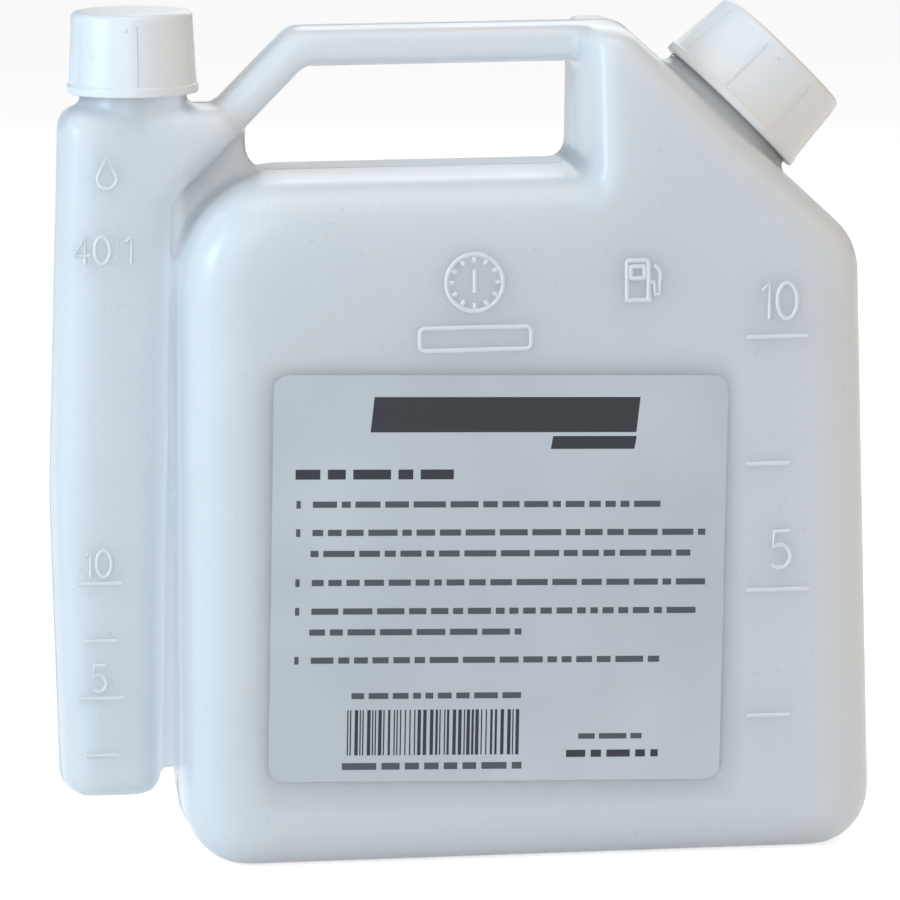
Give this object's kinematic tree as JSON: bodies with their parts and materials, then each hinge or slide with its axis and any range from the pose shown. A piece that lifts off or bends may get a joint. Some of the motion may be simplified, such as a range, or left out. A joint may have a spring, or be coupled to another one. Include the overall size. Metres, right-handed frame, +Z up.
{
  "type": "fuel mixing bottle",
  "caption": "Blown plastic fuel mixing bottle: a petrol tank and a slim oil chamber joined by a hollow carrying handle, each with a screw cap.",
  "frame": {"origin": "middle of the bounding box at the level of the base the bottle stands on", "axes": "+Z up, +X from the oil chamber towards the petrol tank, -Y out of the front face with the label; the y = 0 plane is the parting plane, a quarter of a millimetre off"},
  "size_m": [0.1906, 0.0604, 0.198],
  "materials": {
    "blown_plastic": "natural translucent blow-moulded polyethylene, fine satin skin",
    "cap_plastic": "natural white injection-moulded polyethylene, smooth satin",
    "liner_foam": "white closed-cell polyethylene foam disc",
    "label_film": "clear self-adhesive film, slightly glossy, with dark print blocks"
  },
  "bodies": {
    "bottle": {"bottle_body": "blown_plastic", "front_label": "label_film"},
    "petrol_liner": {"petrol_cap_liner": "liner_foam"},
    "petrol_closure": {"petrol_cap": "cap_plastic"},
    "oil_liner": {"oil_cap_liner": "liner_foam"},
    "oil_closure": {"oil_cap": "cap_plastic"}
  },
  "joints": [
    {"name": "petrol_cap_lift", "type": "slide", "parent": "bottle", "child": "petrol_liner", "axis": [0.7071, 0, 0.7071], "range_m": [0, 0.0085]},
    {"name": "petrol_cap_turn", "type": "hinge", "parent": "petrol_liner", "child": "petrol_closure", "pos_m": [0.06524, 0.00025, 0.1726], "axis": [0.7071, 0, 0.7071], "range_deg": [0, 720]},
    {"name": "oil_cap_lift", "type": "slide", "parent": "bottle", "child": "oil_liner", "axis": [0, 0, 1], "range_m": [0, 0.0065]},
    {"name": "oil_cap_turn", "type": "hinge", "parent": "oil_liner", "child": "oil_closure", "pos_m": [-0.07446, 0.00025, 0.1791], "axis": [0, 0, 1], "range_deg": [0, 720]}
  ],
  "couplings": [
    {"joint": "petrol_cap_lift", "follows": "petrol_cap_turn", "m_per_rad": 0.00066845},
    {"joint": "oil_cap_lift", "follows": "oil_cap_turn", "m_per_rad": 0.0005093}
  ]
}
